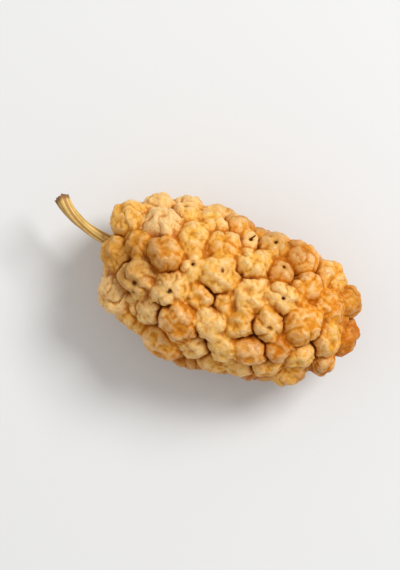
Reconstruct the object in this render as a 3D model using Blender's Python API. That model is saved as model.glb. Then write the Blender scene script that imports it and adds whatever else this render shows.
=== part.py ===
"""A dried white mulberry lying on its side, with its stalk.

The fruit is one body: drupelets packed closely round a core, each an uneven ball with a dimple at its
tip, all joined. Its underside is pressed flat. The stalk stands in a plain hole in the blunt end.
+X runs from the stalk to the fruit's tip, +Z is up, and z = 0 is what the fruit lies on.
"""

import math

import bmesh
import bpy
import numpy as np
from mathutils import Matrix, Vector

MM = 0.001

# The rounded shape that the drupelets' tips reach, and where its middle is. The end drupelets stop
# a little short of its ends, and its underside is pressed flat
FRUIT_LENGTH = 20.2 * MM
FRUIT_WIDTH = 11.6 * MM
FRUIT_HEIGHT = 10.4 * MM
FRUIT_CENTRE = np.array([1.76, 0.38, 4.64]) * MM

# The surface that the drupelets are centred on: blunt ends, a slight taper and a slight bend
END_BLUNTNESS = 2.6
TAPER_TO_TIP = -0.05
SIDEWAYS_BEND = 0.7 * MM
SEATING_ROUNDS = 6

# The drupelets: how many, their size, how they vary, and how they spread out over the body
DRUPELET_COUNT = 100
DRUPELET_RADIUS = 1.38 * MM
DRUPELET_RISE = 1.46 * MM
SEED = 23
SIZE_SPREAD = 0.11
SIZE_LIMITS = (0.82, 1.2)
OVAL_LIMITS = (0.9, 1.1)
RISE_SPREAD = 0.24 * MM
TILT_SPREAD = 0.14
SPACING = 2.32 * MM
SPREADING_ROUNDS = 300
PUSH_SHARE = 0.2
STALK_CLEARING = 0.8

# The uneven shape of each: two broad and four narrower swells round its belly, and the dimple
LOBE_DEPTH = 0.055
NARROW_LOBE_SHARE = 0.7
DIMPLE_DEPTH = 0.11
DIMPLE_ANGLE = math.radians(15)
GOLDEN_ANGLE = math.pi * (3 - math.sqrt(5))

# How a drupelet's ball is divided: its rings are close together round the dimple, and the last of
# them is buried in the core
DRUPELET_SIDES = 10
RING_ANGLES = [math.radians(a) for a in (13, 36, 62, 95)]

# The core that the drupelets stand on, and how far it rises past their centres
CORE_GROWTH = 0.36 * MM
CORE_SIDES = 20
CORE_RINGS = 14

# The stalk, and the hole that it stands in
STALK_RADIUS = 0.42 * MM
STALK_ROOT = (-6.04 * MM, 0.48 * MM, 4.8 * MM)
STALK_BEND = (-9.44 * MM, 0.38 * MM, 5.4 * MM)
STALK_END = (-11.24 * MM, 2.08 * MM, 4.5 * MM)
STALK_POINTS = 12
STALK_ROUNDING = 3
STALK_FLARE = 0.35
FLARE_POWER = 6
HOLE_GAP = 0.3 * MM
HOLE_SIDES = 14
HOLE_START = 0.35 * MM
HOLE_AIM = 0.3

FLOOR_BLOCK = 40 * MM

COLOURS = {
    "fruit": ((0.60, 0.27, 0.062, 1), 0.5),
    "stalk": ((0.62, 0.42, 0.16, 1), 0.7),
}


def clear_scene():
    """Removes every object that the file opened with."""
    for found in list(bpy.data.objects):
        bpy.data.objects.remove(found)


def new_collection(name):
    """A new collection in the scene."""
    made = bpy.data.collections.new(name)
    bpy.context.scene.collection.children.link(made)
    return made


def material(name):
    """A plain material in the colour and roughness of the piece of that name."""
    colour, roughness = COLOURS[name]
    made = bpy.data.materials.new(name)
    made.use_nodes = True
    shader = made.node_tree.nodes["Principled BSDF"]
    shader.inputs["Base Color"].default_value = colour
    shader.inputs["Roughness"].default_value = roughness
    shader.inputs["Metallic"].default_value = 0
    made.diffuse_color = colour
    return made


def new_object(name, data, collection):
    """A new object with that mesh or curve, in that collection."""
    made = bpy.data.objects.new(name, data)
    collection.objects.link(made)
    return made


def half_sizes():
    """Half the length, width and height of the surface that the drupelets are centred on."""
    return np.array([FRUIT_LENGTH, FRUIT_WIDTH, FRUIT_HEIGHT]) / 2 - DRUPELET_RISE


def on_body(points):
    """The points moved along their rays from the middle onto the body's surface.

    The surface is |x / length| ** END_BLUNTNESS + (y / width) ** 2 + (z / height) ** 2 = 1.
    """
    for _ in range(SEATING_ROUNDS):
        level = (np.abs(points / half_sizes()) ** [END_BLUNTNESS, 2, 2]).sum(1)
        points = points * level[:, None] ** (-1 / END_BLUNTNESS)
    return points


def outward_of(points):
    """The body surface's outward normals, which are the slope of the sum in on_body."""
    powers = np.array([END_BLUNTNESS, 2, 2])
    share = points / half_sizes()
    slope = powers * np.sign(share) * np.abs(share) ** (powers - 1) / half_sizes()
    return slope / np.linalg.norm(slope, axis=1, keepdims=True)


def placed(points):
    """The points tapered towards the tip, bent sideways, and moved to where the fruit lies."""
    along = points[:, :1] / half_sizes()[0]
    taper = 1 + TAPER_TO_TIP * along
    bend = SIDEWAYS_BEND * (along**2 - 0.5)
    return points * [1, 0, 0] + (points * taper + bend * [0, 1, 0]) * [0, 1, 1] + FRUIT_CENTRE


def spread_out(sizes):
    """One place on the body for each size, the stalk's first, with the larger ones further apart.

    The places start on a golden-angle spiral, and then each pair nearer than its two sizes ask for
    pushes itself apart along the surface, again and again.
    """
    order = np.arange(len(sizes))
    along = (2 * order + 1) / len(sizes) - 1
    ring = np.sqrt(1 - along**2)
    turn = order * GOLDEN_ANGLE
    points = np.stack([along, ring * np.cos(turn), ring * np.sin(turn)], axis=1) * half_sizes()
    points[0] = [-half_sizes()[0], 0, 0]
    wanted = SPACING * (sizes[:, None] + sizes) / 2
    for _ in range(SPREADING_ROUNDS):
        points = on_body(points)
        apart = points[:, None] - points
        distance = np.linalg.norm(apart, axis=2) + np.eye(len(sizes))
        push = (wanted - distance).clip(0) / distance * (1 - np.eye(len(sizes)))
        step = PUSH_SHARE * (apart * push[:, :, None]).sum(1)
        points[1:] += step[1:]
    return on_body(points)


def drupelet_layout():
    """Where each drupelet stands, which way it points and how big it is.

    Returns centres, frames with the outward axis as the last row, the three half sizes, and two
    phases that turn each one's lobes.
    """
    random = np.random.default_rng(SEED)
    size = random.normal(1, SIZE_SPREAD, DRUPELET_COUNT).clip(*SIZE_LIMITS)
    points = spread_out(np.append(STALK_CLEARING, size))[1:]
    normals = outward_of(points)
    rise = random.uniform(-1, 1, DRUPELET_COUNT) * RISE_SPREAD
    centres = placed(points + normals * rise[:, None])

    outward = normals + random.normal(0, TILT_SPREAD, (DRUPELET_COUNT, 3))
    outward /= np.linalg.norm(outward, axis=1, keepdims=True)
    side = np.cross(outward, random.normal(0, 1, (DRUPELET_COUNT, 3)))
    side /= np.linalg.norm(side, axis=1, keepdims=True)
    frames = np.stack([side, np.cross(outward, side), outward], axis=1)

    oval = random.uniform(*OVAL_LIMITS, DRUPELET_COUNT)
    shape = np.stack([oval, 1 / oval, np.full_like(oval, DRUPELET_RISE / DRUPELET_RADIUS)], axis=1)
    phases = random.uniform(0, 2 * math.pi, (DRUPELET_COUNT, 2))
    return centres, frames, DRUPELET_RADIUS * size[:, None] * shape, phases


def drupelet_reach(polar, turn, phases):
    """How far the skin stands out, as a share of the ball's radius.

    polar is the angle from the tip and turn the angle about it. The skin has a two-sided and a
    four-sided swell round its belly, and sinks in a smooth dimple at the tip.
    """
    belly = np.sin(polar) ** 2
    swell = np.cos(2 * turn + phases[0]) + NARROW_LOBE_SHARE * np.cos(4 * turn + phases[1])
    dimple = DIMPLE_DEPTH * np.exp(-((polar / DIMPLE_ANGLE) ** 2))
    return 1 + LOBE_DEPTH * belly * swell - dimple


def drupelet_mesh(name, centre, frame, sizes, phases):
    """One drupelet as a ball of DRUPELET_SIDES sides, in place."""
    shape = bmesh.new()
    rings = len(RING_ANGLES) + 1
    bmesh.ops.create_uvsphere(shape, u_segments=DRUPELET_SIDES, v_segments=rings, radius=1)
    angles = np.array([0, *RING_ANGLES, math.pi])
    for vertex in shape.verts:
        ring = round(math.acos(max(-1, min(1, vertex.co.z))) / math.pi * rings)
        polar, turn = angles[ring], math.atan2(vertex.co.y, vertex.co.x)
        reach = drupelet_reach(polar, turn, phases)
        ball = np.array(
            [math.sin(polar) * math.cos(turn), math.sin(polar) * math.sin(turn), math.cos(polar)]
        )
        vertex.co = Vector(centre + (ball * sizes * reach) @ frame)
    mesh = bpy.data.meshes.new(name)
    shape.to_mesh(mesh)
    shape.free()
    return mesh


def core_mesh():
    """The core: the surface that the drupelets are centred on, grown a little."""
    shape = bmesh.new()
    bmesh.ops.create_uvsphere(shape, u_segments=CORE_SIDES, v_segments=CORE_RINGS, radius=1)
    turned = np.array([[vertex.co.z, vertex.co.x, vertex.co.y] for vertex in shape.verts])
    points = on_body(turned * half_sizes())
    for vertex, point in zip(shape.verts, placed(points + CORE_GROWTH * outward_of(points))):
        vertex.co = Vector(point)
    mesh = bpy.data.meshes.new("core")
    shape.to_mesh(mesh)
    shape.free()
    return mesh


def add_boolean(target, operation, cutter):
    """A Boolean modifier with one object, or with every object of a collection."""
    made = target.modifiers.new(cutter.name, "BOOLEAN")
    made.operation = operation
    made.solver = "EXACT"
    if isinstance(cutter, bpy.types.Collection):
        made.operand_type = "COLLECTION"
        made.collection = cutter
    else:
        made.object = cutter
    return made


def apply_modifiers(target):
    """Makes what the modifiers give the object's own mesh."""
    graph = bpy.context.evaluated_depsgraph_get()
    solid = bpy.data.meshes.new_from_object(target.evaluated_get(graph))
    target.modifiers.clear()
    target.data = solid


def make_cutter(name, mesh, cutters):
    """A helper that is cut away and never shown."""
    made = new_object(name, mesh, cutters)
    made.hide_render = True
    made.display_type = "WIRE"
    return made


def floor_cutter(cutters):
    """A block under z = 0, which presses the underside flat."""
    shape = bmesh.new()
    bmesh.ops.create_cube(shape, size=FLOOR_BLOCK)
    bmesh.ops.translate(shape, verts=shape.verts, vec=(0, 0, -FLOOR_BLOCK / 2))
    mesh = bpy.data.meshes.new("floor_block")
    shape.to_mesh(mesh)
    shape.free()
    return make_cutter("floor_block", mesh, cutters)


def stalk_line(share):
    """The stalk's middle line: a quadratic curve from its root past its bend to its end."""
    root, bend, end = Vector(STALK_ROOT), Vector(STALK_BEND), Vector(STALK_END)
    return root.lerp(bend, share).lerp(bend.lerp(end, share), share)


def stalk_hole_cutter(cutters):
    """A round bar along the stalk's root, wider than the stalk by the gap on each side."""
    start = stalk_line(0)
    direction = (stalk_line(HOLE_AIM) - start).normalized()
    start = start - direction * HOLE_START
    length = (Vector(STALK_END) - start).length
    radius = STALK_RADIUS + HOLE_GAP
    shape = bmesh.new()
    bmesh.ops.create_cone(
        shape,
        cap_ends=True,
        segments=HOLE_SIDES,
        radius1=radius,
        radius2=radius,
        depth=length,
        matrix=Matrix.Translation((0, 0, length / 2)),
    )
    turn = direction.to_track_quat("Z", "Y").to_matrix().to_4x4()
    bmesh.ops.transform(shape, matrix=Matrix.Translation(start) @ turn, verts=shape.verts)
    mesh = bpy.data.meshes.new("stalk_hole")
    shape.to_mesh(mesh)
    shape.free()
    return make_cutter("stalk_hole", mesh, cutters)


def build_fruit(parts, cutters):
    """The fruit: the core and every drupelet joined, pressed flat beneath, with the stalk's hole."""
    loose = new_collection("drupelets")
    for number, (centre, frame, sizes, phases) in enumerate(zip(*drupelet_layout())):
        name = f"drupelet_{number:02d}"
        new_object(name, drupelet_mesh(name, centre, frame, sizes, phases), loose)
    fruit = new_object("fruit", core_mesh(), parts)
    add_boolean(fruit, "UNION", loose)
    apply_modifiers(fruit)
    for drupelet in list(loose.objects):
        bpy.data.objects.remove(drupelet)
    bpy.data.collections.remove(loose)

    add_boolean(fruit, "DIFFERENCE", floor_cutter(cutters))
    add_boolean(fruit, "DIFFERENCE", stalk_hole_cutter(cutters))
    fruit.data.materials.clear()
    fruit.data.materials.append(material("fruit"))
    fruit.data.shade_smooth()
    return fruit


def build_stalk(parts):
    """The stalk: a bent tube, wider at its far end where it parted from the twig."""
    curve = bpy.data.curves.new("stalk", "CURVE")
    curve.dimensions = "3D"
    curve.bevel_depth = STALK_RADIUS
    curve.bevel_resolution = STALK_ROUNDING
    curve.use_fill_caps = True
    line = curve.splines.new("POLY")
    line.points.add(STALK_POINTS - 1)
    for number, point in enumerate(line.points):
        share = number / (STALK_POINTS - 1)
        point.co = (*stalk_line(share), 1)
        point.radius = 1 + STALK_FLARE * share**FLARE_POWER
    curve.materials.append(material("stalk"))
    return new_object("stalk", curve, parts)


def main():
    """Builds the mulberry in a collection of its own."""
    clear_scene()
    parts = new_collection("dried_mulberry")
    cutters = new_collection("cutters")
    build_fruit(parts, cutters)
    build_stalk(parts)


main()
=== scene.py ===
"""A dried white mulberry lying on its side, dressed for a close look.

The fruit's skin is one surface worked out with numpy: rays go out from the core, and each stops on
whichever shrivelled drupelet reaches furthest along it. Dried styles stand on some of the tips, and
a torn, fluted stalk leaves the blunt end. Everything is in metres, and +X runs from stalk to tip.
"""

from __future__ import annotations

import logging
import math
from dataclasses import dataclass, field
from enum import Enum
from typing import Any

import bpy
import numpy as np
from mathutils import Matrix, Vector


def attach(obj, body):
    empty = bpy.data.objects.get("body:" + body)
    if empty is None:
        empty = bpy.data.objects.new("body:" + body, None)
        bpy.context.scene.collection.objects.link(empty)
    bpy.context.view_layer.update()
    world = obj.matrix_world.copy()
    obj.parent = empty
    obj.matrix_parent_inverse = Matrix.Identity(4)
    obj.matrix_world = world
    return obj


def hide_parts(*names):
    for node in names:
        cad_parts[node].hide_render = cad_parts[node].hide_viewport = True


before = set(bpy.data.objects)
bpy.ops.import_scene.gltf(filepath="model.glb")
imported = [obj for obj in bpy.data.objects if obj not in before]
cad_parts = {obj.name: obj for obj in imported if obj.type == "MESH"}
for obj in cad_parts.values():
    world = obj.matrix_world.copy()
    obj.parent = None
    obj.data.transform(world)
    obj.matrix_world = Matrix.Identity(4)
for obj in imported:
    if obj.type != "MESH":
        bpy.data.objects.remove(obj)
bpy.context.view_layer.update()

LOG = logging.getLogger("dried_mulberry")

MM = 0.001
TURN = 2 * math.pi
GOLDEN_ANGLE = math.pi * (3 - math.sqrt(5))
TINY = 1e-9
LENGTH_SPREAD = (0.75, 1.3)

# A pair is two ends or limits, a wave its size, count and phase, and a colour four linear channels
Array = np.ndarray
Pair = tuple[float, float]
Place = tuple[float, float, float]
Wave = tuple[float, float, float]
Colour = tuple[float, float, float, float]


class Slot(Enum):
    """The record's material slots."""

    FRUIT = "fruit"
    STALK = "stalk"


class Tint(Enum):
    """Every colour of the pieces and the floor, as red, green and blue from 0 to 255."""

    # PALE is also the painted highlight on proud knobs and ridges
    PALE = (236, 193, 131)
    STRAW = (235, 185, 104)
    GOLD = (234, 172, 68)
    # AMBER is also painted shade in the hollows
    AMBER = (218, 130, 14)
    # BROWN is painted shade in hollows, furrows and creases, and the colour of veins and specks
    BROWN = (182, 94, 0)
    # painted shade where the creases lie deep
    DEEP_SHADE = (86, 30, 0)
    SCAR = (54, 22, 2)
    STYLE = (52, 22, 4)
    WORN_STYLE = (104, 56, 18)
    STEM = (232, 194, 112)
    GREEN_STEM = (206, 172, 84)
    # GROOVE is painted shade in the stalk's grooves, and the colour of its flecks
    GROOVE = (162, 106, 44)
    TORN = (112, 66, 26)
    FLOOR = (226, 226, 225)

    def linear(self) -> Colour:
        """The colour as a shader's linear channels, by the sRGB formula.

        Returns:
            Red, green and blue from 0 to 1, and an opaque fourth channel.
        """
        share = np.array(self.value) / 255
        linear = np.where(share <= 0.04045, share / 12.92, ((share + 0.055) / 1.055) ** 2.4)
        return (*(float(channel) for channel in linear), 1.0)


class Seed(Enum):
    """The seeds of the smooth random fields over the skin."""

    RIPPLE = 5
    CRUMPLE = 6
    SCAR = 8
    WELD = 12
    BED = 14
    SAG = 21


def smooth(low: float | Array, high: float | Array, value: Array) -> Array:
    """A smooth step from 0 at low to 1 at high: 3 s^2 - 2 s^3."""
    share = ((value - low) / (high - low)).clip(0, 1)
    return share * share * (3 - 2 * share)


def bell(value: Array, width: float | Array) -> Array:
    """A bell that is 1 at nought: exp(-(value / width)^2)."""
    return np.exp(-((value / width) ** 2))


def waves(angle: Array, *terms: tuple[float, float, float | Array]) -> Array:
    """The sum of size * sin(count * angle + phase), each term being (size, count, phase)."""
    return sum(size * np.sin(count * angle + phase) for size, count, phase in terms)


def unit(vectors: Array) -> Array:
    """The vectors at length one."""
    return vectors / np.linalg.norm(vectors, axis=-1, keepdims=True)


def rippled(points: Array, length: float, seed: Seed, count: int = 20) -> Array:
    """A smooth random field of unit spread: the sum of sine waves in random directions.

    Args:
        points: where to read the field, one row each.
        length: the waves' mean length.
        seed: which field.
        count: how many waves are summed.

    Returns:
        One value a point, mostly within -2 to 2.
    """
    random = np.random.default_rng(seed.value)
    way = unit(random.normal(size=(count, 3)))
    wave = TURN / (length * random.uniform(*LENGTH_SPREAD, count))
    phase = random.uniform(0, TURN, count)
    return np.sin(points @ (way * wave[:, None]).T + phase).sum(1) / math.sqrt(count / 2)


@dataclass(frozen=True)
class Drupelets:
    """Every drupelet's place, pose and shape, one row each."""

    centres: Array
    frames: Array
    sizes: Array
    phases: Array


@dataclass(frozen=True)
class FruitBody:
    """The rounded shape that the drupelets are centred on, and how they spread over it.

    The numbers and the order of the random draws are those of the part's source, so that each
    drupelet of the skin lies in its solid.
    """

    length: float = 20.2 * MM
    width: float = 11.6 * MM
    height: float = 10.4 * MM
    centre: Place = (1.76 * MM, 0.38 * MM, 4.64 * MM)
    bluntness: float = 2.6
    taper: float = -0.05
    bend: float = 0.7 * MM
    seating_rounds: int = 6
    count: int = 100
    radius: float = 1.38 * MM
    rise: float = 1.46 * MM
    seed: int = 23
    size_spread: float = 0.11
    size_limits: Pair = (0.82, 1.2)
    oval_limits: Pair = (0.9, 1.1)
    rise_spread: float = 0.24 * MM
    tilt_spread: float = 0.14
    spacing: float = 2.32 * MM
    spreading_rounds: int = 300
    push_share: float = 0.2
    stalk_clearing: float = 0.8
    core_growth: float = 0.36 * MM

    def half_sizes(self) -> Array:
        """Half the length, width and height of the surface that the drupelets are centred on."""
        return np.array([self.length, self.width, self.height]) / 2 - self.rise

    def on_body(self, points: Array) -> Array:
        """The points moved along their rays onto |x/a|^bluntness + (y/b)^2 + (z/c)^2 = 1.

        Args:
            points: places round the body's middle, one row each.

        Returns:
            The same places on the body's surface.
        """
        for _ in range(self.seating_rounds):
            level = (np.abs(points / self.half_sizes()) ** [self.bluntness, 2, 2]).sum(1)
            points = points * level[:, None] ** (-1 / self.bluntness)
        return points

    def outward_of(self, points: Array) -> Array:
        """The surface's outward normals, which are the slope of the sum in on_body.

        Args:
            points: places on the body's surface.

        Returns:
            One unit normal a point.
        """
        powers = np.array([self.bluntness, 2, 2])
        share = points / self.half_sizes()
        return unit(powers * np.sign(share) * np.abs(share) ** (powers - 1) / self.half_sizes())

    def placed(self, points: Array) -> Array:
        """The points tapered towards the tip, bent sideways, and moved to where the fruit lies.

        With s = x/a, y and z are multiplied by 1 + taper s, and y gains bend (s^2 - 1/2).

        Args:
            points: places round the body's middle.

        Returns:
            The places in the fruit as it lies.
        """
        along = points[:, :1] / self.half_sizes()[0]
        taper = 1 + self.taper * along
        bend = self.bend * (along**2 - 0.5)
        shaped = (points * taper + bend * [0, 1, 0]) * [0, 1, 1]
        return points * [1, 0, 0] + shaped + np.array(self.centre)

    def spread_out(self, sizes: Array) -> Array:
        """One place on the body for each size: a golden-angle spiral whose points push apart.

        Args:
            sizes: the clearing at the stalk first, and then each drupelet's size.

        Returns:
            The places, on the surface, in the same order.
        """
        order = np.arange(len(sizes))
        along = (2 * order + 1) / len(sizes) - 1
        ring = np.sqrt(1 - along**2)
        turn = order * GOLDEN_ANGLE
        points = np.stack([along, ring * np.cos(turn), ring * np.sin(turn)], axis=1)
        points = points * self.half_sizes()
        points[0] = [-self.half_sizes()[0], 0, 0]
        wanted = self.spacing * (sizes[:, None] + sizes) / 2
        for _ in range(self.spreading_rounds):
            points = self.on_body(points)
            apart = points[:, None] - points
            distance = np.linalg.norm(apart, axis=2) + np.eye(len(sizes))
            push = (wanted - distance).clip(0) / distance * (1 - np.eye(len(sizes)))
            step = self.push_share * (apart * push[:, :, None]).sum(1)
            points[1:] += step[1:]
        return self.on_body(points)

    def drupelets(self) -> Drupelets:
        """Where each drupelet stands, which way it points, how big it is and how its lobes turn.

        Returns:
            Every drupelet, one row each.
        """
        random = np.random.default_rng(self.seed)
        size = random.normal(1, self.size_spread, self.count).clip(*self.size_limits)
        points = self.spread_out(np.append(self.stalk_clearing, size))[1:]
        normals = self.outward_of(points)
        rise = random.uniform(-1, 1, self.count) * self.rise_spread
        centres = self.placed(points + normals * rise[:, None])

        outward = unit(normals + random.normal(0, self.tilt_spread, (self.count, 3)))
        side = unit(np.cross(outward, random.normal(0, 1, (self.count, 3))))
        frames = np.stack([side, np.cross(outward, side), outward], axis=1)

        oval = random.uniform(*self.oval_limits, self.count)
        shape = np.stack([oval, 1 / oval, np.full_like(oval, self.rise / self.radius)], axis=1)
        phases = random.uniform(0, TURN, (self.count, 2))
        return Drupelets(centres, frames, self.radius * size[:, None] * shape, phases)


@dataclass(frozen=True)
class Shrivel:
    """How drying has shaped each drupelet, as shares of its radius unless a unit is given.

    Its four fleshy scales meet in seams that cross at the tip, its flanks are folded from tip to
    base, two dents sink it, and the style has left a pit with a raised rim. Angles are measured
    from the tip, and a pair of them says where something starts and where it is full. A sway or a
    quiver is how far something wanders sideways, and how often. Each of the folds has a weight, a
    number of ridges in half a turn, and a slant.
    """

    squareness: float = 2.15
    lobe_depth: float = 0.055
    narrow_lobe_share: float = 0.7
    dimple_depth: float = 0.11
    dimple_angle: float = math.radians(15)
    rim_height: float = 0.045
    rim_angle: float = math.radians(22)
    rim_width: float = math.radians(7)
    rim_sway: Pair = (0.3, 3.0)
    scale_depth: float = 0.12
    scale_roundness: float = 0.7
    scale_middle: float = 0.72
    scale_sway: Pair = (0.28, 1.0)
    scale_quiver: Pair = (0.14, 2.0)
    scale_fullness: float = 0.75
    scale_unevenness: float = 0.35
    seam_depth: float = 0.035
    seam_width: float = 0.05
    seam_start: Pair = (math.radians(5), math.radians(30))
    seam_fading: Pair = (math.radians(70), math.radians(110))
    seam_left: float = 0.5
    seam_weight: Pair = (0.3, 1.25)
    fold_depth: float = 0.085
    fold_start: Pair = (math.radians(14), math.radians(50))
    fold_sway: Pair = (0.3, 2.6)
    fold_quiver: Pair = (0.1, 7.0)
    fold_middle: float = 0.62
    fold_weight: Pair = (0.4, 1.3)
    folds: tuple[Wave, ...] = ((0.5, 2.5, 0.5), (0.32, 4.5, -0.9), (0.18, 8.0, 1.3))
    dent_angle: Pair = (math.radians(20), math.radians(85))
    dent_depth: Pair = (0.03, 0.16)
    dent_width: Pair = (0.4, 0.8)
    ripple_depth: float = 0.022
    ripple_length: float = 1.0 * MM
    crumple_depth: float = 0.01
    crumple_length: float = 0.42 * MM
    crumple_count: int = 28
    scarred_share: float = 0.31
    scar_radius: Pair = (0.12 * MM, 0.21 * MM)
    scar_shade: Pair = (0.3, 1.0)
    pit_depth: float = 0.05
    seed: int = 71

    def draws(self, count: int) -> dict[str, Array]:
        """The random choices of each drupelet: its folds' phases, dents, seams, scar and tone.

        Args:
            count: how many drupelets there are.

        Returns:
            Arrays by name, one row a drupelet.
        """
        random = np.random.default_rng(self.seed)
        polar = random.uniform(*self.dent_angle, (count, 2))
        around = random.uniform(0, TURN, (count, 2))
        dents = np.stack(
            [np.sin(polar) * np.cos(around), np.sin(polar) * np.sin(around), np.cos(polar)], axis=2
        )
        scarred = random.random(count) < self.scarred_share
        return {
            "fold_phase": random.uniform(0, TURN, (count, 4)),
            "fold_weight": random.uniform(*self.fold_weight, count),
            "dent_way": dents,
            "dent_depth": random.uniform(*self.dent_depth, (count, 2)),
            "dent_width": random.uniform(*self.dent_width, (count, 2)),
            "seam_weight": random.uniform(*self.seam_weight, count),
            "scar": np.where(scarred, random.uniform(*self.scar_radius, count), 0.0),
            "tone": random.random(count),
            "scar_shade": random.uniform(*self.scar_shade, count),
            "sunk": random.random(count),
        }

    def ripples(self, points: Array) -> Array:
        """The small unevenness of the skin: long ripples and short crumples, added up.

        Args:
            points: places on the skin.

        Returns:
            The height at each point, as a share of the radius.
        """
        long = self.ripple_depth * rippled(points, self.ripple_length, Seed.RIPPLE)
        short = rippled(points, self.crumple_length, Seed.CRUMPLE, self.crumple_count)
        return long + self.crumple_depth * short


@dataclass
class FruitSkin:
    """The fruit's whole skin: about a hundred shrivelled drupelets grown together.

    rows and columns divide the surface along and around the fruit's axis, and end_gap is how far
    the first row is from its end, in rows. nearest is how many drupelets each ray is tried on,
    and rounds how often its length is corrected. In patches of weld_length the creases go from
    grown together and filled, with a little painted shade, to open, sunk deep and dark with
    painted shade, and crease_depth and shade_share are pairs of those two states. The sag is the
    broad hollows that the fruit has sunk into, and sag_spread how unevenly its drupelets follow
    them. The bed is the puckered core, where it shows round the stalk. A pair of limits is where a
    field starts to count and where it counts in full. furrow and hollow are the reach, in rows
    and columns, and the depth that counts as one; by them the finish paints shade in furrows and
    hollows, and highlight on what stands proud. scar_edge is where a scar fades out, and scar_rim
    where its rim lies and how wide it is, as shares of the scar's radius.
    """

    body: FruitBody = field(default_factory=FruitBody)
    shrivel: Shrivel = field(default_factory=Shrivel)
    rows: int = 300
    columns: int = 330
    profile_steps: int = 4001
    end_gap: float = 0.6
    nearest: int = 6
    rounds: int = 8
    first_lift: float = 0.9 * MM
    longest_step: float = 0.4 * MM
    least_cosine: float = 0.4
    tolerance: float = 0.03 * MM
    least_lean: float = 0.12
    sunk_depth: float = 0.25 * MM
    missed_length: float = -1.0 * MM
    crease_depth: Pair = (-0.12 * MM, 0.36 * MM)
    crease_width: float = 0.19 * MM
    shade_width: float = 0.28 * MM
    shade_share: Pair = (0.14, 1.0)
    weld_length: float = 2.8 * MM
    weld_limits: Pair = (-0.4, 1.1)
    bed_depth: float = 0.07 * MM
    bed_length: float = 0.8 * MM
    sag_depth: float = 0.38 * MM
    sag_length: float = 7.0 * MM
    sag_waves: int = 12
    sag_limits: Pair = (-0.3, 1.5)
    sag_underside: Pair = (-0.75, -0.15)
    sag_spread: Pair = (-0.12 * MM, 0.2 * MM)
    furrow: tuple[int, float] = (2, 0.03 * MM)
    hollow: tuple[int, float] = (6, 0.2 * MM)
    scar_edge: Pair = (0.75, 1.2)
    scar_rim: Pair = (2.1, 0.9)
    scar_wobble: float = 0.16
    scar_wobble_length: float = 0.3 * MM

    def __post_init__(self) -> None:
        """Works out the drupelets, their random choices, and how far each has sunk in."""
        parts = self.body.drupelets()
        self.draws = self.shrivel.draws(self.body.count)
        low, high = self.sag_spread
        outward = parts.frames[:, 2]
        sunk = self.sag(parts.centres, outward) + low + (high - low) * self.draws["sunk"]
        centres = parts.centres - sunk[:, None] * outward
        self.drupelets = Drupelets(centres, parts.frames, parts.sizes, parts.phases)

    def sag(self, points: Array, outward: Array) -> Array:
        """How far the fruit has sunk in at those points, in broad hollows that spare the underside.

        Args:
            points: places near the core's surface.
            outward: the surface's direction there.

        Returns:
            The depth at each point.
        """
        ground = rippled(points, self.sag_length, Seed.SAG, self.sag_waves)
        upper = smooth(*self.sag_underside, outward[:, 2])
        return self.sag_depth * smooth(*self.sag_limits, ground) * upper

    def reach(self, which: Array, way: Array, ripples: Array) -> tuple[Array, Array]:
        """How far each drupelet's skin is from its centre, in given directions.

        A knob (s^n + u^n)^(-1/n), with s and u the sideways and upward shares of its sizes and n
        the squareness, times 1 + lobes + rim - dimple - pit - seams - folds - dents + ripples.

        Args:
            which: each row's drupelet.
            way: unit directions in that drupelet's own frame, its tip along the third axis.
            ripples: the small unevenness of each row, as a share of the radius.

        Returns:
            The distances, and the arc from each row to its drupelet's tip.
        """
        look, draws = self.shrivel, self.draws
        sizes, phases = self.drupelets.sizes[which], self.drupelets.phases[which]
        polar = np.arccos(way[:, 2].clip(-1, 1))
        turn = np.arctan2(way[:, 1], way[:, 0])
        sideways = np.hypot(way[:, 0] / sizes[:, 0], way[:, 1] / sizes[:, 1])
        upward = np.abs(way[:, 2]) / sizes[:, 2]
        knob = (sideways**look.squareness + upward**look.squareness) ** (-1 / look.squareness)

        belly = np.sin(polar) ** 2
        swell = np.cos(2 * turn + phases[:, 0])
        swell += look.narrow_lobe_share * np.cos(4 * turn + phases[:, 1])
        shape = 1 + look.lobe_depth * belly * swell
        shape -= look.dimple_depth * bell(polar, look.dimple_angle)

        first, second, third, fourth = draws["fold_phase"][which].T
        bent = turn + waves(polar, (*look.fold_sway, fourth), (*look.fold_quiver, third))
        rim = 1 - look.rim_sway[0] + waves(bent, (*look.rim_sway, first))
        shape += look.rim_height * bell(polar - look.rim_angle, look.rim_width) * rim

        uneven = bent + waves(bent, (*look.scale_sway, second), (*look.scale_quiver, third))
        hump = np.abs(np.cos(2 * uneven + phases[:, 1] / 2))
        seam = draws["seam_weight"][which] * smooth(*look.seam_start, polar)
        seam *= 1 - (1 - look.seam_left) * smooth(*look.seam_fading, polar)
        fullness = look.scale_fullness + look.scale_unevenness * np.sin(uneven + first)
        scale = fullness * (hump**look.scale_roundness - look.scale_middle)
        shape += look.scale_depth * seam * scale
        shape -= look.seam_depth * seam * bell(hump / 2 * np.sin(polar), look.seam_width)

        folds = -look.fold_middle
        for (weight, count, slant), phase in zip(look.folds, (first, second, third)):
            folds = folds + weight * np.abs(np.sin(count * bent + phase + slant * polar))
        flank = draws["fold_weight"][which] * smooth(*look.fold_start, polar)
        shape += look.fold_depth * flank * folds

        facing = np.einsum("nj,nkj->nk", way, draws["dent_way"][which])
        dents = np.exp(-2 * (1 - facing) / draws["dent_width"][which] ** 2)
        shape += ripples - (draws["dent_depth"][which] * dents).sum(1)

        arc = polar * knob
        scar = draws["scar"][which]
        shape -= np.where(scar > 0, look.pit_depth * bell(arc, np.maximum(scar, TINY)), 0)
        return knob * shape, arc

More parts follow.
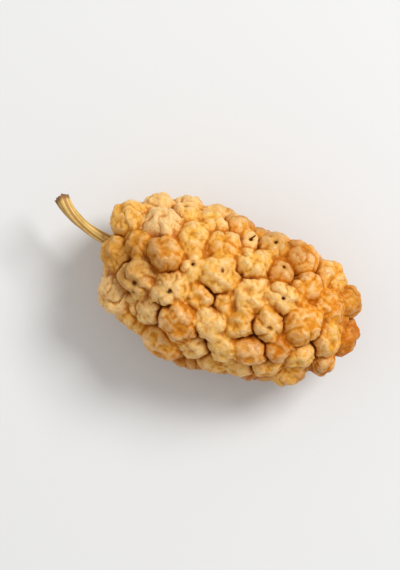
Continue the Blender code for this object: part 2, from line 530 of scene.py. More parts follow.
    def grid(self) -> tuple[Array, Array]:
        """The rays' starts and directions: rows along the axis, columns round it, and both ends.

        Points are (a x, b r cos t, c r sin t) with r = sqrt(1 - |x|^bluntness), and the rows are
        even along the profile of the tips' own surface.

        Returns:
            The points on the core and their outward directions, the two ends last.
        """
        half = self.body.half_sizes()
        fine = np.sin(np.linspace(-math.pi / 2, math.pi / 2, self.profile_steps))
        swell = np.sqrt(1 - np.abs(fine) ** self.body.bluntness)
        profile = np.stack([fine * half[0], swell * half[1], 0 * fine], axis=1)
        outer = profile + self.body.rise * self.body.outward_of(profile)
        run = np.append(0, np.cumsum(np.linalg.norm(np.diff(outer, axis=0), axis=1)))
        share = (np.arange(self.rows) + self.end_gap) / (self.rows - 1 + 2 * self.end_gap)
        along = np.interp(share * run[-1], run, fine)[:, None]
        turn = np.arange(self.columns) / self.columns * TURN
        swell = np.sqrt(1 - np.abs(along) ** self.body.bluntness)
        points = np.stack(
            [
                np.broadcast_to(along * half[0], (self.rows, self.columns)),
                half[1] * swell * np.cos(turn),
                half[2] * swell * np.sin(turn),
            ],
            axis=2,
        ).reshape(-1, 3)
        points = np.concatenate([points, [[-half[0], 0, 0], [half[0], 0, 0]]])
        outward = self.body.outward_of(points)
        return self.body.placed(points + self.body.core_growth * outward), outward

    def lengths(self, starts: Array, outward: Array) -> tuple[Array, Array, Array, Array]:
        """How far each ray goes before it leaves the last drupelet that it meets.

        Each ray is tried on the drupelets nearest to it. It starts from where it leaves the plain
        ball, and is corrected by (reach - distance) / cos(angle between ray and radius) until it
        ends on the skin, with least_cosine under the division and no step over longest_step. One
        that is still off by the tolerance, or leans past least_lean, stops sunk_depth inside the
        ball, or at missed_length where it misses the ball as well.

        Args:
            starts: the rays' starts.
            outward: their directions.

        Returns:
            The lengths, each ray's drupelet, how much further it went than on the next drupelet,
            and the arc from its end to the tip.
        """
        parts = self.drupelets
        middle = starts + self.first_lift * outward
        square = (middle**2).sum(1)[:, None] + (parts.centres**2).sum(1)
        square -= 2 * middle @ parts.centres.T
        near = np.argpartition(square, self.nearest, axis=1)[:, : self.nearest]
        which = near.ravel()
        start = np.repeat(starts, self.nearest, axis=0)
        ray = np.repeat(outward, self.nearest, axis=0)
        frames, centres = parts.frames[which], parts.centres[which]

        off = np.einsum("nj,nkj->nk", start - centres, frames) / parts.sizes[which]
        pace = np.einsum("nj,nkj->nk", ray, frames) / parts.sizes[which]
        across, along = (pace**2).sum(1), (off * pace).sum(1)
        under_root = along**2 - across * ((off**2).sum(1) - 1)
        ball = (np.sqrt(np.maximum(under_root, 0)) - along) / across
        ripples = self.shrivel.ripples(start + ball[:, None] * ray)
        length = ball
        for _ in range(self.rounds):
            spoke = start + length[:, None] * ray - centres
            distance = np.linalg.norm(spoke, axis=1)
            spoke /= distance[:, None]
            goal, arc = self.reach(which, np.einsum("nj,nkj->nk", spoke, frames), ripples)
            lean = (spoke * ray).sum(1)
            step = (goal - distance) / np.maximum(lean, self.least_cosine)
            length = length + step.clip(-self.longest_step, self.longest_step)
        missed = (np.abs(goal - distance) > self.tolerance) | (lean < self.least_lean)
        sunk = np.where(under_root > 0, ball - self.sunk_depth, self.missed_length)
        length = np.where(missed, sunk, length).reshape(near.shape)
        order = np.argsort(-length, axis=1)[:, :2]
        best, second = np.take_along_axis(length, order, 1).T
        owner = np.take_along_axis(near, order[:, :1], 1)[:, 0]
        arc = np.take_along_axis(arc.reshape(near.shape), order[:, :1], 1)[:, 0]
        return best, owner, best - np.maximum(second, -self.sag_depth), arc

    def hollows(self, length: Array, reach: int, depth: float) -> Array:
        """How far the skin lies below the mean of what is round it, reach rows and columns away.

        Args:
            length: the rays' lengths, the two ends last.
            reach: half the size of the square that the mean is taken over.
            depth: the depth that counts as one.

        Returns:
            One value a point, negative where it stands proud, and nought at both ends.
        """
        level = length[:-2].reshape(self.rows, self.columns)
        spread = np.pad(level, ((reach, reach), (0, 0)), mode="edge")
        spread = np.pad(spread, ((0, 0), (reach, reach)), mode="wrap")
        side = 2 * reach + 1
        for axis in (0, 1):
            total = np.cumsum(spread, axis=axis)
            total = np.insert(total, 0, 0, axis=axis)
            ends = np.arange(total.shape[axis] - side)
            spread = (total.take(ends + side, axis) - total.take(ends, axis)) / side
        return np.append((spread - level) / depth, [0.0, 0.0])

    def faces(self) -> list[Array]:
        """The quads between the grid's rows, and the triangles that close the two ends.

        Returns:
            The two groups of faces.
        """
        column = np.arange(self.columns)
        beside = (column + 1) % self.columns
        row = np.arange(self.rows - 1)[:, None] * self.columns
        ahead = row + self.columns
        quads = np.stack([row + column, ahead + column, ahead + beside, row + beside], axis=2)
        hub = np.full(self.columns, self.rows * self.columns)
        last = (self.rows - 1) * self.columns
        start = np.stack([hub, column, beside], axis=1)
        end = np.stack([hub + 1, last + beside, last + column], axis=1)
        return [quads.reshape(-1, 4), np.concatenate([start, end])]

    def dress(self, piece: bpy.types.Object) -> None:
        """Gives the skin its finish, and puts it in the place of the plain fruit."""
        finish(piece, SkinFinish())
        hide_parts("fruit")

    def build(self) -> bpy.types.Object:
        """Makes the skin's mesh, with what its finish reads as attributes.

        The skin is the furthest of drupelets and bed along each ray, less a crease that is a bell
        of the lead over the next drupelet, and nothing of it is below the floor.

        Returns:
            The new object.
        """
        starts, outward = self.grid()
        length, owner, lead, arc = self.lengths(starts, outward)
        bed = self.bed_depth * rippled(starts, self.bed_length, Seed.BED)
        bed -= self.sag(starts, outward)
        lead = np.where(length < bed, 0, lead)
        length = np.maximum(length, bed)
        parted = smooth(*self.weld_limits, rippled(starts, self.weld_length, Seed.WELD))
        depth = np.interp(parted, (0, 1), self.crease_depth)
        length = length - depth * bell(lead, self.crease_width)
        points = starts + length[:, None] * outward
        points[:, 2] = np.maximum(points[:, 2], 0)

        shade = np.interp(parted, (0, 1), self.shade_share)
        scar = self.draws["scar"][owner]
        wobble = 1 + self.scar_wobble * rippled(points, self.scar_wobble_length, Seed.SCAR)
        within, without = (share * scar for share in self.scar_edge)
        dark = 1 - smooth(within, without + TINY, arc * wobble)
        away, spread = (share * scar for share in self.scar_rim)
        # crease, furrow and hollow drive the finish's painted shade and painted highlight
        marks = {
            "crease": shade * bell(lead, self.shade_width),
            "furrow": self.hollows(length, *self.furrow),
            "hollow": self.hollows(length, *self.hollow),
            "tone": self.draws["tone"][owner],
            "scar": np.where(scar > 0, dark * self.draws["scar_shade"][owner], 0),
            "rim": np.where(scar > 0, bell(arc - away, spread + TINY), 0),
        }
        return new_piece("fruit_skin", points, self.faces(), marks)


def new_piece(
    name: str, points: Array, faces: list[Array], marks: dict[str, Array] | None = None
) -> bpy.types.Object:
    """A smooth-shaded mesh object at the origin.

    Args:
        name: the object's name.
        points: one row a vertex.
        faces: groups of faces, each group with one number of corners.
        marks: attributes for its finish by name, one number a vertex.

    Returns:
        The new object, linked into the scene.
    """
    mesh = bpy.data.meshes.new(name)
    counts = np.concatenate([np.full(len(group), group.shape[1]) for group in faces])
    corners = np.concatenate([group.ravel() for group in faces])
    mesh.vertices.add(len(points))
    mesh.vertices.foreach_set("co", points.astype(np.float32).ravel())
    mesh.loops.add(len(corners))
    mesh.loops.foreach_set("vertex_index", corners.astype(np.int32))
    mesh.polygons.add(len(counts))
    firsts = np.append(0, np.cumsum(counts)[:-1])
    mesh.polygons.foreach_set("loop_start", firsts.astype(np.int32))
    mesh.polygons.foreach_set("use_smooth", np.ones(len(counts), dtype=bool))
    mesh.update(calc_edges=True)
    mesh.validate()
    for mark, values in (marks or {}).items():
        made = mesh.attributes.new(mark, "FLOAT", "POINT")
        made.data.foreach_set("value", values.astype(np.float32))
    piece = bpy.data.objects.new(name, mesh)
    bpy.context.scene.collection.objects.link(piece)
    return piece


def tube_faces(rings: int, sides: int, tubes: int = 1) -> Array:
    """Quads for tubes laid out ring after ring, each ring closed on itself.

    Args:
        rings: how many rings each tube has.
        sides: how many points each ring has.
        tubes: how many tubes there are.

    Returns:
        One row a quad, four vertex numbers each.
    """
    side = np.arange(sides)
    beside = (side + 1) % sides
    ring = np.arange(rings - 1)[:, None] * sides
    ahead = ring + sides
    quads = np.stack([ring + side, ring + beside, ahead + beside, ahead + side], axis=2)
    starts = np.arange(tubes)[:, None, None] * rings * sides
    return (quads.reshape(1, -1, 4) + starts).reshape(-1, 4)


@dataclass
class DriedStyles:
    """The dark dried styles that are left on the tips: short stubs, and a few curled threads.

    Each is a tube along (curl radius) * (sin a, 1 - cos a) that leans over as it leaves the pit.
    Its thickness goes from foot to tip, and closes as sqrt(1 - (s - start)^2 / span) beyond the
    start. A curl is the angle that it bends through. wander is how far it strays sideways, as a
    share of its length, and how often, and squash how uneven its section is, in how many lobes
    and with how much twist. None stands where a tip leans below lowest_lean.
    """

    skin: FruitSkin
    rings: int = 9
    sides: int = 7
    kept_share: float = 0.7
    lowest_lean: float = -0.35
    thread_share: float = 0.14
    thread_length: Pair = (0.5 * MM, 0.8 * MM)
    stub_length: Pair = (0.16 * MM, 0.34 * MM)
    thread_radius: Pair = (0.045 * MM, 0.065 * MM)
    stub_radius: Pair = (0.075 * MM, 0.12 * MM)
    thread_curl: Pair = (1.7, 2.8)
    stub_curl: Pair = (0.2, 0.9)
    thickness: Pair = (1.15, 0.7)
    closing_start: float = 0.55
    closing_span: float = 0.2026
    closed: float = 0.08
    wander: Pair = (0.12, 3.5)
    squash: Place = (0.22, 2.0, 5.0)
    sink: float = 0.05 * MM
    floor_gap: float = 0.05 * MM
    seed: int = 9

    def drawn(self, random: np.random.Generator) -> tuple[Array, Array, Array, Array]:
        """Which drupelets keep a style, and what each style is like.

        Args:
            random: what the draws come from.

        Returns:
            The drupelets' numbers, and the styles' lengths, radii and curls.
        """
        upward = self.skin.drupelets.frames[:, 2, 2]
        keep = (self.skin.draws["scar"] > 0) & (upward > self.lowest_lean)
        which = np.flatnonzero(keep & (random.random(len(keep)) < self.kept_share))
        count = len(which)
        is_thread = random.random(count) < self.thread_share
        length, radius, curl = (
            np.where(is_thread, random.uniform(*thread, count), random.uniform(*stub, count))
            for thread, stub in (
                (self.thread_length, self.stub_length),
                (self.thread_radius, self.stub_radius),
                (self.thread_curl, self.stub_curl),
            )
        )
        return which, length, radius, curl

    def dress(self, piece: bpy.types.Object) -> None:
        """Gives the styles their finish."""
        finish(piece, StyleFinish())

    def build(self) -> bpy.types.Object:
        """Makes every style as one mesh.

        Returns:
            The new object.
        """
        random = np.random.default_rng(self.seed)
        which, length, radius, curl = self.drawn(random)
        parts = self.skin.drupelets
        axis = parts.frames[which, 2]
        tip = np.broadcast_to([0.0, 0.0, 1.0], axis.shape)
        ripples = self.skin.shrivel.ripples(parts.centres[which] + parts.sizes[which, 2:] * axis)
        reach, _ = self.skin.reach(which, tip, ripples)
        root = parts.centres[which] + (reach - self.sink)[:, None] * axis
        heading = random.uniform(0, TURN, len(which))[:, None]
        over = np.cos(heading) * parts.frames[which, 0] + np.sin(heading) * parts.frames[which, 1]
        aside = np.cross(axis, over)

        share = np.linspace(0, 1, self.rings)
        angle = curl[:, None] * share
        arc = (length / curl)[:, None]
        rise, lean = arc * np.sin(angle), arc * (1 - np.cos(angle))
        astray = length[:, None] * waves(share, (*self.wander, heading)) * share
        line = root[:, None] + rise[:, :, None] * axis[:, None] + lean[:, :, None] * over[:, None]
        line += astray[:, :, None] * aside[:, None]

        beyond = share.clip(self.closing_start) - self.closing_start
        closing = np.sqrt(1 - beyond**2 / self.closing_span).clip(self.closed)
        thick = radius[:, None] * np.interp(share, (0, 1), self.thickness) * closing
        side = np.arange(self.sides) / self.sides * TURN
        size, lobes, twist = self.squash
        uneven = 1 + waves(side, (size, lobes, heading[:, :, None] + twist * share[:, None]))
        normal = np.cos(angle)[:, :, None] * over[:, None]
        normal -= np.sin(angle)[:, :, None] * axis[:, None]
        ring = np.cos(side)[:, None] * normal[:, :, None]
        ring = ring + np.sin(side)[:, None] * aside[:, None, None]
        points = line[:, :, None] + (thick[:, :, None] * uneven)[..., None] * ring
        points[..., 2] = np.maximum(points[..., 2], self.floor_gap)
        quads = tube_faces(self.rings, self.sides, len(which))
        last = (np.arange(len(which))[:, None] * self.rings + self.rings - 1) * self.sides
        caps = last + np.arange(self.sides)
        return new_piece("dried_styles", points.reshape(-1, 3), [quads[:, ::-1], caps[:, ::-1]])


@dataclass
class Stalk:
    """The stalk: a fluted stem on a quadratic curve, wider and torn at its far end.

    The flutes are ribs, lines and a fine grain that slants along the stem. tears are the waves of
    the ragged rim, of which raggedness is the share. The cup of broken pith starts at cup_rim of
    the stem's radius, and cup_folds is how deep its folds are, how many, and how they swirl.
    """

    radius: float = 0.42 * MM
    root: Place = (-6.04 * MM, 0.48 * MM, 4.8 * MM)
    bend: Place = (-9.44 * MM, 0.38 * MM, 5.4 * MM)
    end: Place = (-11.24 * MM, 2.08 * MM, 4.5 * MM)
    rings: int = 150
    sides: int = 72
    flare: float = 0.3
    flare_power: int = 6
    waist: float = 0.1
    knots: tuple[Wave, ...] = ((0.04, 9, 0.8), (0.02, 23, 0))
    twist: float = 1.3
    flute_depth: float = 0.085
    flute_middle: float = 0.5
    ribs: Wave = (0.6, 2.5, 0.4)
    lines: Wave = (0.28, 9, 1.1)
    grain: Wave = (0.12, 17, 2.0)
    grain_slant: float = 3.0
    tear_depth: float = 0.22 * MM
    tear_start: float = 0.8
    tear_middle: float = 0.5
    tears: tuple[Wave, ...] = ((1, 3, 0.6), (0.8, 7, 2.2), (0.6, 13, 0))
    raggedness: float = 0.22
    torn_start: float = 0.86
    cup_depth: float = 0.16 * MM
    cup_rings: int = 12
    cup_rim: float = 0.86
    cup_folds: Wave = (0.35, 5, 6)

    def line(self, share: Array) -> tuple[Array, Array]:
        """The middle line (1-s)^2 root + 2 s (1-s) bend + s^2 end.

        Args:
            share: how far along the stem, from 0 to 1.

        Returns:
            The places there, and the line's unit direction.
        """
        root, bend, end = (np.array(point) for point in (self.root, self.bend, self.end))
        share = share[:, None]
        points = (1 - share) ** 2 * root + 2 * share * (1 - share) * bend + share**2 * end
        return points, unit((1 - share) * (bend - root) + share * (end - bend))

    def flutes(self, side: Array, share: Array) -> Array:
        """The ridges along the stem, about nought.

        Args:
            side: the angles round it.
            share: how far along it, one row each.

        Returns:
            The ridges' heights, one row a ring.
        """
        angle = side + self.twist * share
        size, count, phase = self.ribs
        ribs = size * np.abs(np.sin(count * angle + phase))
        size, count, phase = self.grain
        grain = (size, count, phase + self.grain_slant * share)
        return ribs + waves(angle, self.lines, grain) - self.flute_middle

    def dress(self, piece: bpy.types.Object) -> None:
        """Gives the stalk its finish, and puts it in the place of the plain stalk."""
        finish(piece, StrawFinish())
        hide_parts("stalk")

    def build(self) -> bpy.types.Object:
        """Makes the stalk as one closed mesh.

        The radius is R (1 + flare s^6 - waist sin(pi s) + knots + flutes). The far rim is ragged,
        and a cup of broken pith closes it.

        Returns:
            The new object.
        """
        share = np.linspace(0, 1, self.rings)
        middle, along = self.line(share)
        side = np.arange(self.sides) / self.sides * TURN
        across = unit(np.cross(along, [0.0, 0.0, 1.0]))
        above = np.cross(across, along)
        flutes = self.flutes(side, share[:, None])
        swell = 1 + self.flare * share**self.flare_power - self.waist * np.sin(math.pi * share)
        swell += waves(share, *self.knots)
        thick = self.radius * (swell[:, None] + self.flute_depth * flutes)

        ragged = self.tear_middle + self.raggedness * waves(side, *self.tears)
        back = self.tear_depth * ragged * smooth(self.tear_start, 1.0, share)[:, None]
        ring = np.cos(side)[:, None] * across[:, None] + np.sin(side)[:, None] * above[:, None]
        points = middle[:, None] + thick[..., None] * ring - back[..., None] * along[:, None]

        inward = np.linspace(self.cup_rim, 0.0, self.cup_rings)[:, None]
        rim, heart = points[-1], middle[-1] - self.tear_middle * self.tear_depth * along[-1]
        size, count, swirl = self.cup_folds
        folds = 1 + waves(side, (size, count, swirl * inward))
        sink = self.cup_depth * (1 - inward**2) * folds
        cup = heart + inward[..., None] * (rim - heart) - sink[..., None] * along[-1]
        every = np.concatenate([points, cup[:-1]]).reshape(-1, 3)
        every = np.concatenate([every, [heart - self.cup_depth * along[-1], middle[0]]])
        rings = self.rings + self.cup_rings - 1
        flat = np.arange(self.sides)
        beside = (flat + 1) % self.sides
        last = (rings - 1) * self.sides
        hub = np.full(self.sides, rings * self.sides)
        tip = np.stack([last + flat, last + beside, hub], axis=1)
        foot = np.stack([beside, flat, hub + 1], axis=1)

        lie = np.repeat(np.append(share, np.ones(self.cup_rings - 1)), self.sides)
        marks = {
            "torn": np.append(smooth(self.torn_start, 1.0, lie), [1, 0]),
            # groove is the flutes' heights, for the painted shade in the grooves
            "groove": np.append(flutes, np.zeros(len(every) - flutes.size)),
        }
        faces = [tube_faces(rings, self.sides), np.concatenate([tip, foot])]
        return new_piece("stalk_stem", every, faces, marks)


@dataclass(frozen=True)
class Layer:
    """A tint over those before it: none of it where its signal is low, and share where high."""

    signal: str
    low: float
    high: float
    share: float
    tint: Tint
    easing: str = "SMOOTHSTEP"


@dataclass(frozen=True)
class Noise:
    """Soft noise in 0 to 1: its features a millimetre, and how detailed and warped it is."""

    scale: float
    detail: float = 3
    rough: float = 0.55
    warp: float = 0


class Recipe:
    """A material under construction: its shader, and short ways to add and join nodes."""

    def __init__(self, name: str) -> None:
        """Starts a material with a Principled shader, and millimetre coordinates on the object.

        Args:
            name: the material's name.
        """
        self.material = bpy.data.materials.new(name)
        self.material.use_nodes = True
        self.tree = self.material.node_tree
        self.shader = self.tree.nodes["Principled BSDF"]
        place = self.tree.nodes.new("ShaderNodeTexCoord")
        scaled = self.add("ShaderNodeMapping", {"Vector": place.outputs["Object"]})
        scaled.inputs["Scale"].default_value = (1 / MM, 1 / MM, 1 / MM)
        self.place = scaled.outputs["Vector"]

    def add(self, kind: str, inputs: dict[Any, Any], **settings: Any) -> bpy.types.Node:
        """Adds a node.

        Args:
            kind: the node's type.
            inputs: what goes into each input, a value or another node's output.
            settings: the node's own properties.

        Returns:
            The new node.
        """
        node = self.tree.nodes.new(kind)
        for name, value in settings.items():
            setattr(node, name, value)
        self.feed(node, inputs)
        return node

    def feed(self, node: bpy.types.Node, inputs: dict[Any, Any]) -> None:
        """Links outputs to a node's inputs, or sets the inputs' own values.

        Args:
            node: the node.
            inputs: what goes into each input, a value or another node's output.
        """
        for name, value in inputs.items():
            if isinstance(value, bpy.types.NodeSocket):
                self.tree.links.new(value, node.inputs[name])
            else:
                node.inputs[name].default_value = value

    def mark(self, name: str) -> bpy.types.NodeSocket:
        """The mesh attribute of that name, as a number."""
        return self.add("ShaderNodeAttribute", {}, attribute_name=name).outputs["Fac"]

    def along(self) -> bpy.types.NodeSocket:
        """The place along the fruit's length, in millimetres towards the tip."""
        return self.add("ShaderNodeSeparateXYZ", {"Vector": self.place}).outputs["X"]

    def noise(self, look: Noise) -> bpy.types.NodeSocket:
        """Noise of that look, all through the object.

        Args:
            look: its scale, detail, roughness and warp.

        Returns:
            The noise, in 0 to 1.
        """
        inputs = {"Scale": look.scale, "Detail": look.detail, "Roughness": look.rough}
        inputs |= {"Vector": self.place, "Distortion": look.warp}
        return self.add("ShaderNodeTexNoise", inputs).outputs["Fac"]

    def between(
        self, value: Any, limits: Pair, ends: Pair = (0, 1), easing: str = "SMOOTHSTEP"
    ) -> bpy.types.NodeSocket:
        """A value stretched from its limits to the two ends, and clamped there.

        Args:
            value: the value.
            limits: what becomes the first end and the last.
            ends: the two ends.
            easing: how it goes from one to the other.

        Returns:
            The stretched value.
        """
        names = ("From Min", "From Max", "To Min", "To Max")
        inputs = {"Value": value} | dict(zip(names, (*limits, *ends)))
        return self.add("ShaderNodeMapRange", inputs, interpolation_type=easing).outputs["Result"]

    def maths(self, operation: str, *values: Any) -> bpy.types.NodeSocket:
        """The numbers put together by that operation."""
        return self.add("ShaderNodeMath", dict(enumerate(values)), operation=operation).outputs[0]

    def weighed(self, *terms: tuple[Any, float]) -> Any:
        """The sum of values, each times its weight.

        Args:
            terms: each value and its weight.

        Returns:
            The sum.
        """
        total: Any = 0.0
        for value, weight in terms:
            total = self.maths("MULTIPLY_ADD", value, weight, total)
        return total

    def mix(self, share: Any, first: Any, second: Any, blend: str = "MIX") -> bpy.types.NodeSocket:
        """Two colours mixed.

        Args:
            share: how much of the second there is.
            first: the first colour.
            second: the second colour.
            blend: how they are mixed.

        Returns:
            The mixed colour.
        """
        node = self.add("ShaderNodeMix", {}, data_type="RGBA", blend_type=blend)
        self.feed(node, {0: share, 6: first, 7: second})
        return node.outputs[2]

    def layered(self, base: Tint, layers: tuple[Layer, ...], signals: dict[str, Any]) -> Any:
        """Tints laid one over another.

        Args:
            base: the tint under them all.
            layers: the others, in the order that they are laid.
            signals: what the layers follow, by name.

        Returns:
            The colour that results.
        """
        colour: Any = base.linear()
        for layer in layers:
            limits, ends = (layer.low, layer.high), (0, layer.share)
            share = self.between(signals[layer.signal], limits, ends, layer.easing)
            colour = self.mix(share, colour, layer.tint.linear())
        return colour

    def bump(self, height: Any, relief: Pair, onto: Any = None) -> bpy.types.NodeSocket:
        """Relief, on top of other relief if there is some.

        Args:
            height: the relief's height, in 0 to 1.
            relief: what a height of one stands for in metres, and its strength.
            onto: the relief below it.

        Returns:
            The bent normal.
        """
        distance, strength = relief
        inputs = {"Height": height, "Distance": distance, "Strength": strength}
        if onto is not None:
            inputs["Normal"] = onto
        return self.add("ShaderNodeBump", inputs).outputs["Normal"]

    def finished(self, inputs: dict[str, Any]) -> bpy.types.Material:
        """Feeds the shader, which completes the material.

        Args:
            inputs: what goes into each of its inputs, a value or another node's output.

        Returns:
            The material.
        """
        self.feed(self.shader, inputs)
        return self.material


@dataclass(frozen=True)
class SkinFinish:
    """Sticky dried skin: straw gold, amber in patches, paler on the knobs and ridges by painted
    highlight, and amber to deep brown in the hollows, furrows and creases by painted shade.

    drift moves the colour from pale to amber, drupelet by drupelet, in mottles, and from the
    fruit's one end to the other. veins are thin wandering lines. Worn patches are multiplied by
    the bright patch or the dull one. A relief is a height and a strength.
    """

    fruit_ends: Pair = (-7, 9)
    drift_tone: float = 0.6
    drift_mottle: float = 0.5
    drift_ends: Pair = (-0.14, 0.16)
    mottle: Noise = Noise(1.5, 4, 0.6, 0.5)
    veins: Noise = Noise(1.3, 3, 0.55, 1.6)
    vein_width: float = 0.03
    specks: Noise = Noise(4.6, 2, 0.6)
    # how deep in a hollow the creases' painted shade turns deep brown
    deep_shade_hollow: Pair = (0.5, 2.2)
    layers: tuple[Layer, ...] = (
        Layer("drift", 0.05, 0.35, 1, Tint.STRAW),
        Layer("drift", 0.25, 0.6, 1, Tint.GOLD),
        Layer("drift", 0.5, 0.95, 1, Tint.AMBER),
        # painted shade: amber in the hollows
        Layer("hollow", -0.4, 0.7, 0.3, Tint.AMBER),
        # painted highlight: pale on what stands proud
        Layer("hollow", -0.2, -1.1, 0.64, Tint.PALE),
        # painted highlight: pale on fine ridges
        Layer("furrow", -0.05, -0.8, 0.32, Tint.PALE),
        # painted shade: brown in fine furrows
        Layer("furrow", 0.15, 1.3, 0.4, Tint.BROWN),
        Layer("off_vein", 1, 0, 0.3, Tint.BROWN),
        # painted shade: brown in the hollows
        Layer("hollow", 0.15, 1.3, 0.58, Tint.BROWN),
        # painted shade: brown in the creases
        Layer("crease", 0.2, 0.9, 0.4, Tint.BROWN),
        # painted shade: deep brown where the creases lie deep
        Layer("deep_shade", 0.12, 0.8, 0.85, Tint.DEEP_SHADE),
        Layer("rim", 0, 1, 0.5, Tint.PALE, "LINEAR"),
        Layer("speck", 0.66, 0.78, 0.4, Tint.BROWN),
    )
    wear: Noise = Noise(0.17, 2, 0.5, 0.3)
    wear_tone: float = 0.16
    wear_ends: Pair = (-0.03, 0)
    wear_limits: Pair = (0.46, 0.72)
    bright_patch: Colour = (1.04, 1.06, 1.08, 1.0)
    dull_patch: Colour = (0.76, 0.65, 0.46, 1.0)
    sheen: Noise = Noise(2.2, 3, 0.6)
    sheen_limits: Pair = (0.35, 0.65)
    roughness: Pair = (0.36, 0.64)
    specular: float = 0.13
    coat: Pair = (0, 0.36)
    coat_hollow: Pair = (0.1, -0.9)
    coat_scar: Pair = (0.6, 0)
    coat_roughness: float = 0.24
    flesh_share: float = 0.22
    flesh_depth: float = 0.7 * MM
    flesh_radius: Place = (1.0, 0.42, 0.14)
    pucker: Noise = Noise(2.6, 4, 0.6, 0.8)
    pucker_relief: Pair = (0.16 * MM, 0.5)
    vein_relief: Pair = (0.05 * MM, 0.6)
    grain: Noise = Noise(7.0, 3, 0.6, 0.6)
    grain_relief: Pair = (0.04 * MM, 0.5)

    def material(self) -> bpy.types.Material:
        """Builds the node material.

        Returns:
            The new material.
        """
        recipe = Recipe("mulberry_skin")
        names = ("tone", "furrow", "hollow", "crease", "rim", "scar")
        marks = {name: recipe.mark(name) for name in names}
        along, tone, hollow = recipe.along(), marks["tone"], marks["hollow"]
        drift = recipe.weighed(
            (tone, self.drift_tone),
            (recipe.noise(self.mottle), self.drift_mottle),
            (recipe.between(along, self.fruit_ends, self.drift_ends), 1.0),
        )
        wander = recipe.maths("SUBTRACT", recipe.noise(self.veins), 0.5)
        off_vein = recipe.between(recipe.maths("ABSOLUTE", wander), (0, self.vein_width))
        # painted shade in the creases, deepest where the skin lies well below its surroundings
        deep_shade = recipe.maths("MULTIPLY", marks["crease"], recipe.between(hollow, self.deep_shade_hollow))
        speck = recipe.noise(self.specks)
        signals = marks | {"drift": drift, "off_vein": off_vein, "deep_shade": deep_shade, "speck": speck}
        colour = recipe.layered(Tint.PALE, self.layers, signals)

        worn = recipe.weighed(
            (recipe.noise(self.wear), 1.0),
            (tone, self.wear_tone),
            (recipe.between(along, self.fruit_ends, self.wear_ends), 1.0),
        )
        worn = recipe.between(worn, self.wear_limits)
        patch = recipe.mix(worn, self.bright_patch, self.dull_patch)
        colour = recipe.mix(1.0, colour, patch, "MULTIPLY")
        colour = recipe.mix(marks["scar"], colour, Tint.SCAR.linear())

        sheen = recipe.between(recipe.noise(self.sheen), self.sheen_limits, self.roughness)
        relief = recipe.bump(recipe.noise(self.pucker), self.pucker_relief)
        relief = recipe.bump(off_vein, self.vein_relief, relief)
        relief = recipe.bump(recipe.noise(self.grain), self.grain_relief, relief)
        sticky = recipe.between(hollow, self.coat_hollow, self.coat)
        sticky = recipe.maths("MULTIPLY", sticky, recipe.between(marks["scar"], self.coat_scar))
        return recipe.finished(
            {
                "Base Color": colour,
                "Roughness": sheen,
                "Normal": relief,
                "Subsurface Weight": self.flesh_share,
                "Subsurface Radius": self.flesh_radius,
                "Subsurface Scale": self.flesh_depth,
                "Coat Weight": sticky,
                "Coat Roughness": self.coat_roughness,
                "Specular IOR Level": self.specular,
            }
        )


@dataclass(frozen=True)
class StyleFinish:
    """Dead plant thread: dark brown, dull."""

    blotch: Noise = Noise(5, 2)
    layers: tuple[Layer, ...] = (Layer("blotch", 0.4, 0.7, 1, Tint.WORN_STYLE),)
    grain: Noise = Noise(14, 2)
    grain_relief: Pair = (0.02 * MM, 0.6)
    roughness: float = 0.75
    specular: float = 0.12

    def material(self) -> bpy.types.Material:
        """Builds the node material.

        Returns:
            The new material.
        """
        recipe = Recipe("dried_style")
        signals = {"blotch": recipe.noise(self.blotch)}
        return recipe.finished(
            {
                "Base Color": recipe.layered(Tint.STYLE, self.layers, signals),
                "Roughness": self.roughness,
                "Specular IOR Level": self.specular,
                "Normal": recipe.bump(recipe.noise(self.grain), self.grain_relief),
            }
        )


@dataclass(frozen=True)
class StrawFinish:
    """A dry stem: straw yellow, greener in patches, browner where it tore, with painted shade in
    its grooves.
    """

    patch: Noise = Noise(0.7, 3)
    fleck: Noise = Noise(3.4, 3)
    layers: tuple[Layer, ...] = (
        Layer("patch", 0.42, 0.66, 1, Tint.GREEN_STEM),
        # painted shade: brown in the stalk's grooves
        Layer("groove", 0.1, -0.35, 0.8, Tint.GROOVE),
        Layer("fleck", 0.55, 0.75, 0.7, Tint.GROOVE),
        Layer("torn", 0.2, 1, 0.85, Tint.TORN),
    )
    grain: Noise = Noise(9, 3)
    grain_relief: Pair = (0.03 * MM, 0.6)
    roughness: float = 0.62

    def material(self) -> bpy.types.Material:
        """Builds the node material.

        Returns:
            The new material.
        """
        recipe = Recipe("straw_stem")
        signals = {name: recipe.mark(name) for name in ("groove", "torn")}
        signals |= {"patch": recipe.noise(self.patch), "fleck": recipe.noise(self.fleck)}
        return recipe.finished(
            {
                "Base Color": recipe.layered(Tint.STEM, self.layers, signals),
                "Roughness": self.roughness,
                "Normal": recipe.bump(recipe.noise(self.grain), self.grain_relief),
            }
        )


@dataclass(frozen=True)
class FloorFinish:
    """A plain pale matt floor."""

    roughness: float = 0.9

    def material(self) -> bpy.types.Material:
        """Builds the node material."""
        inputs = {"Base Color": Tint.FLOOR.linear(), "Roughness": self.roughness}
        return Recipe("pale_floor").finished(inputs)


@dataclass(frozen=True)
class Lamp:
    """A square soft light: its place, its power in watts, and the length of its sides."""

    name: str
    place: Place
    power: float
    size: float


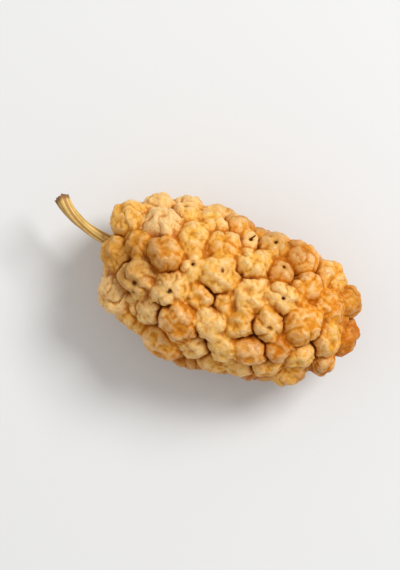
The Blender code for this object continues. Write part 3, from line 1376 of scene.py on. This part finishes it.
@dataclass(frozen=True)
class Studio:
    """The floor, soft light and a camera straight above.

    view_span is what the picture's long side covers at the fruit's middle height, and roll turns
    the camera so that the stalk lies at the upper left.
    """

    floor_size: float = 3.0
    floor_drop: float = 0.01 * MM
    lens: float = 150.0
    sensor: float = 36.0
    clip: Pair = (1 * MM, 10.0)
    view_span: float = 39.5 * MM
    aim: Place = (0.0, 0.0, 5.0 * MM)
    roll: float = math.radians(22)
    world_strength: float = 0.54
    lamps: tuple[Lamp, ...] = (
        Lamp("key", (0.115, 0.178, 0.24), 0.785, 0.12),
        Lamp("fill", (-0.26, -0.06, 0.2), 0.09, 0.3),
    )

    def floor(self) -> None:
        """Lays the floor, just under what the fruit lies on."""
        reach = self.floor_size / 2
        corners = np.array([[-1, -1, 0], [1, -1, 0], [1, 1, 0], [-1, 1, 0]]) * reach
        corners[:, 2] = -self.floor_drop
        plane = new_piece("floor", corners, [np.array([[0, 1, 2, 3]])])
        plane.data.materials.append(FloorFinish().material())

    def light(self, lamp: Lamp) -> None:
        """Hangs a lamp that faces the fruit.

        Args:
            lamp: the lamp.
        """
        data = bpy.data.lights.new(lamp.name, "AREA")
        data.energy = lamp.power
        data.size = lamp.size
        held = bpy.data.objects.new(lamp.name, data)
        held.location = lamp.place
        facing = Vector(self.aim) - Vector(lamp.place)
        held.rotation_euler = facing.to_track_quat("-Z", "Y").to_euler()
        bpy.context.scene.collection.objects.link(held)

    def camera(self) -> None:
        """Sets the camera straight above, looking down."""
        data = bpy.data.cameras.new("camera")
        data.lens = self.lens
        data.sensor_width = self.sensor
        data.clip_start, data.clip_end = self.clip
        held = bpy.data.objects.new("camera", data)
        away = self.view_span * self.lens / self.sensor
        held.location = Vector(self.aim) + Vector((0, 0, away))
        held.rotation_euler = (0, 0, self.roll)
        bpy.context.scene.collection.objects.link(held)
        bpy.context.scene.camera = held

    def build(self) -> None:
        """Makes the floor, the lights, the even light all round, and the camera."""
        self.floor()
        for lamp in self.lamps:
            self.light(lamp)
        world = bpy.data.worlds.new("studio")
        world.use_nodes = True
        sky = world.node_tree.nodes["Background"]
        sky.inputs["Color"].default_value = (1, 1, 1, 1)
        sky.inputs["Strength"].default_value = self.world_strength
        bpy.context.scene.world = world
        bpy.context.scene.view_settings.view_transform = "Standard"
        self.camera()


def finish(
    piece: bpy.types.Object, look: SkinFinish | StyleFinish | StrawFinish
) -> None:
    """Gives a piece its finish, and the body that it rides on.

    Args:
        piece: the new piece.
        look: the finish, whose material is built here.
    """
    piece.data.materials.append(look.material())
    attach(piece, "root")


def main() -> None:
    """Builds the fruit's skin, its dried styles, the stalk and the studio, in that order."""
    logging.basicConfig(level=logging.INFO, format="%(name)s: %(message)s")
    skin = FruitSkin()
    for maker in (skin, DriedStyles(skin), Stalk()):
        piece = maker.build()
        maker.dress(piece)
        mesh = piece.data
        LOG.info("%s: %d points, %d faces", piece.name, len(mesh.vertices), len(mesh.polygons))

    Studio().build()


if __name__ == "__main__":
    main()
